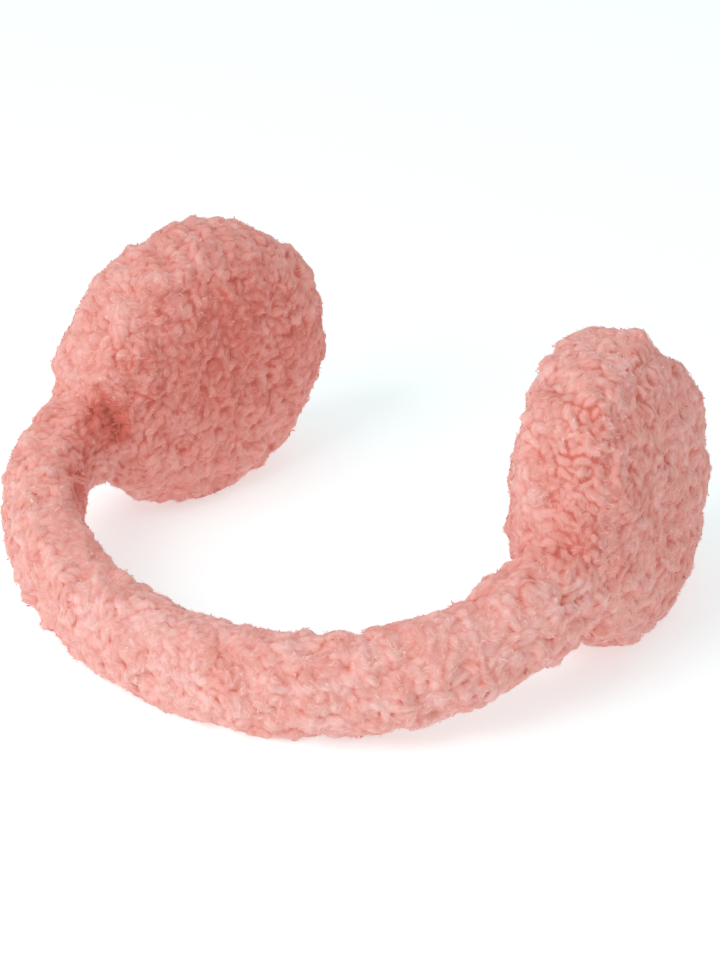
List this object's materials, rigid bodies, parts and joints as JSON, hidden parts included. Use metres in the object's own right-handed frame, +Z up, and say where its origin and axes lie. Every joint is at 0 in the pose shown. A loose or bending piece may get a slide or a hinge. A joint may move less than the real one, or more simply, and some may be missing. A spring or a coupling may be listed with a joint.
{
  "type": "fur earmuffs",
  "caption": "Padded headband in curly fleece between round, thick ear pads of the same fleece, lying flat as an open hoop.",
  "frame": {"origin": "on the surface that the earmuffs lie on, at the middle of their outline seen from above", "axes": "+Z up from that surface, +X from the left pad to the right pad, -Y towards the crown of the band"},
  "size_m": [0.2484, 0.213, 0.1126],
  "materials": {
    "band_fleece": "matt curly pile",
    "rim_fleece": "matt curly pile",
    "face_fleece": "matt curly pile"
  },
  "bodies": {
    "root": {"headband": "band_fleece", "left_pad_rim": "rim_fleece", "left_pad_inner_face": "face_fleece", "left_pad_outer_face": "face_fleece", "right_pad_rim": "rim_fleece", "right_pad_inner_face": "face_fleece", "right_pad_outer_face": "face_fleece"}
  },
  "joints": []
}
